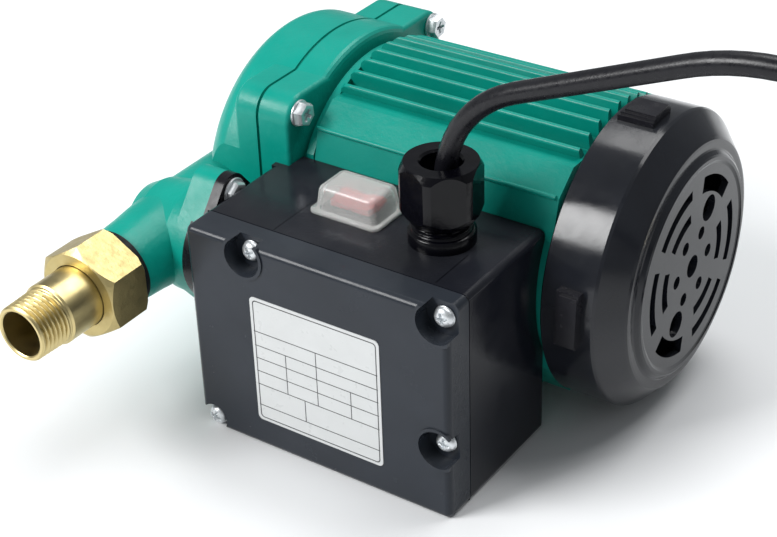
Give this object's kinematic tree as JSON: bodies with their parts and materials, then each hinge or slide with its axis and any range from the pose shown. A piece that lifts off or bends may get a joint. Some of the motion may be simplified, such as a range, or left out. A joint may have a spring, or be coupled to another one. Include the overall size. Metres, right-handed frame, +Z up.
{
  "type": "centrifugal water pump",
  "caption": "Small close-coupled centrifugal water pump: cast volute with brass union discharge, finned motor, fan cover, flow switch, terminal box with booted rocker switch, and supply cord.",
  "frame": {"origin": "on the standing surface, straight under the motor shaft, in the plane where the pump casing meets the motor bracket", "axes": "+X along the motor shaft from the pump casing to the fan cover, +Z up, and the discharge port points along -Y, on the side of the terminal box"},
  "size_m": [0.4155, 0.2379, 0.1704],
  "materials": {
    "green_paint": "gloss",
    "seal_rubber": "matt",
    "zinc_steel": "zinc plated",
    "impeller_brass": "cast",
    "shaft_steel": "ground",
    "seal_carbon": "lapped",
    "seal_ceramic": "lapped",
    "core_steel": "laminated",
    "bearing_steel": "polished",
    "copper": "enamelled wire",
    "green_frame": "satin",
    "fan_plastic": "moulded",
    "cover_black": "moulded gloss",
    "clip_black": "moulded satin",
    "brass": "machined",
    "switch_black": "moulded satin",
    "box_black": "moulded gloss",
    "lid_black": "moulded gloss",
    "label_white": "coated",
    "rocker_red": "moulded",
    "boot_clear": "clear silicone",
    "gland_black": "moulded satin",
    "capacitor_grey": "moulded",
    "terminal_cream": "moulded",
    "cord_black": "satin sheath",
    "plug_black": "moulded",
    "pin_brass": "nickel plated"
  },
  "bodies": {
    "pump": {"volute_casing": "green_paint", "motor_bracket": "green_paint", "casing_o_ring": "seal_rubber", "flange_bolts": "zinc_steel", "seal_seat": "seal_ceramic", "bearing_outer_races": "bearing_steel", "stator_core": "core_steel", "stator_windings": "copper", "motor_frame": "green_frame", "rear_shield": "green_frame", "fan_cover": "cover_black", "cover_clips": "clip_black", "union_tailpiece": "brass", "union_gasket": "seal_rubber", "port_seal": "seal_rubber", "flow_switch_body": "switch_black", "flow_switch_bolts": "zinc_steel", "flap_pin": "shaft_steel", "terminal_box_base": "box_black", "terminal_box_cover": "lid_black", "box_gasket": "seal_rubber", "box_cover_screws": "zinc_steel", "box_back_screws": "zinc_steel", "rating_label": "label_white", "rocker_housing": "switch_black", "switch_boot": "boot_clear", "gland_body": "gland_black", "gland_locknut": "gland_black", "gland_nut": "gland_black", "gland_seal": "seal_rubber", "run_capacitor": "capacitor_grey", "terminal_block": "terminal_cream", "power_cord": "cord_black", "cord_coil": "cord_black", "cord_tail": "cord_black", "plug_body": "plug_black", "plug_pins": "pin_brass"},
    "rotor": {"shaft": "shaft_steel", "rotor_core": "core_steel", "impeller": "impeller_brass", "impeller_nut": "shaft_steel", "seal_rotating": "seal_carbon", "bearing_inner_races": "bearing_steel", "bearing_balls": "bearing_steel", "fan": "fan_plastic"},
    "union_nut": {"union_nut": "brass"},
    "rocker": {"rocker": "rocker_red"},
    "flap": {"flow_flap": "fan_plastic"}
  },
  "joints": [
    {"name": "rotor_spin", "type": "hinge", "parent": "pump", "child": "rotor", "pos_m": [0, 0, 0.055], "axis": [1, 0, 0], "continuous": true},
    {"name": "union_nut_turn", "type": "hinge", "parent": "pump", "child": "union_nut", "pos_m": [-0.0212, -0.115, 0.055], "axis": [0, -1, 0], "continuous": true},
    {"name": "rocker_tilt", "type": "hinge", "parent": "pump", "child": "rocker", "pos_m": [0.0522, -0.0625, 0.081], "axis": [0, 1, 0], "range_deg": [-9, 9]},
    {"name": "flap_swing", "type": "hinge", "parent": "pump", "child": "flap", "pos_m": [-0.0212, -0.066, 0.0645], "axis": [1, 0, 0], "range_deg": [-28, 0]}
  ]
}
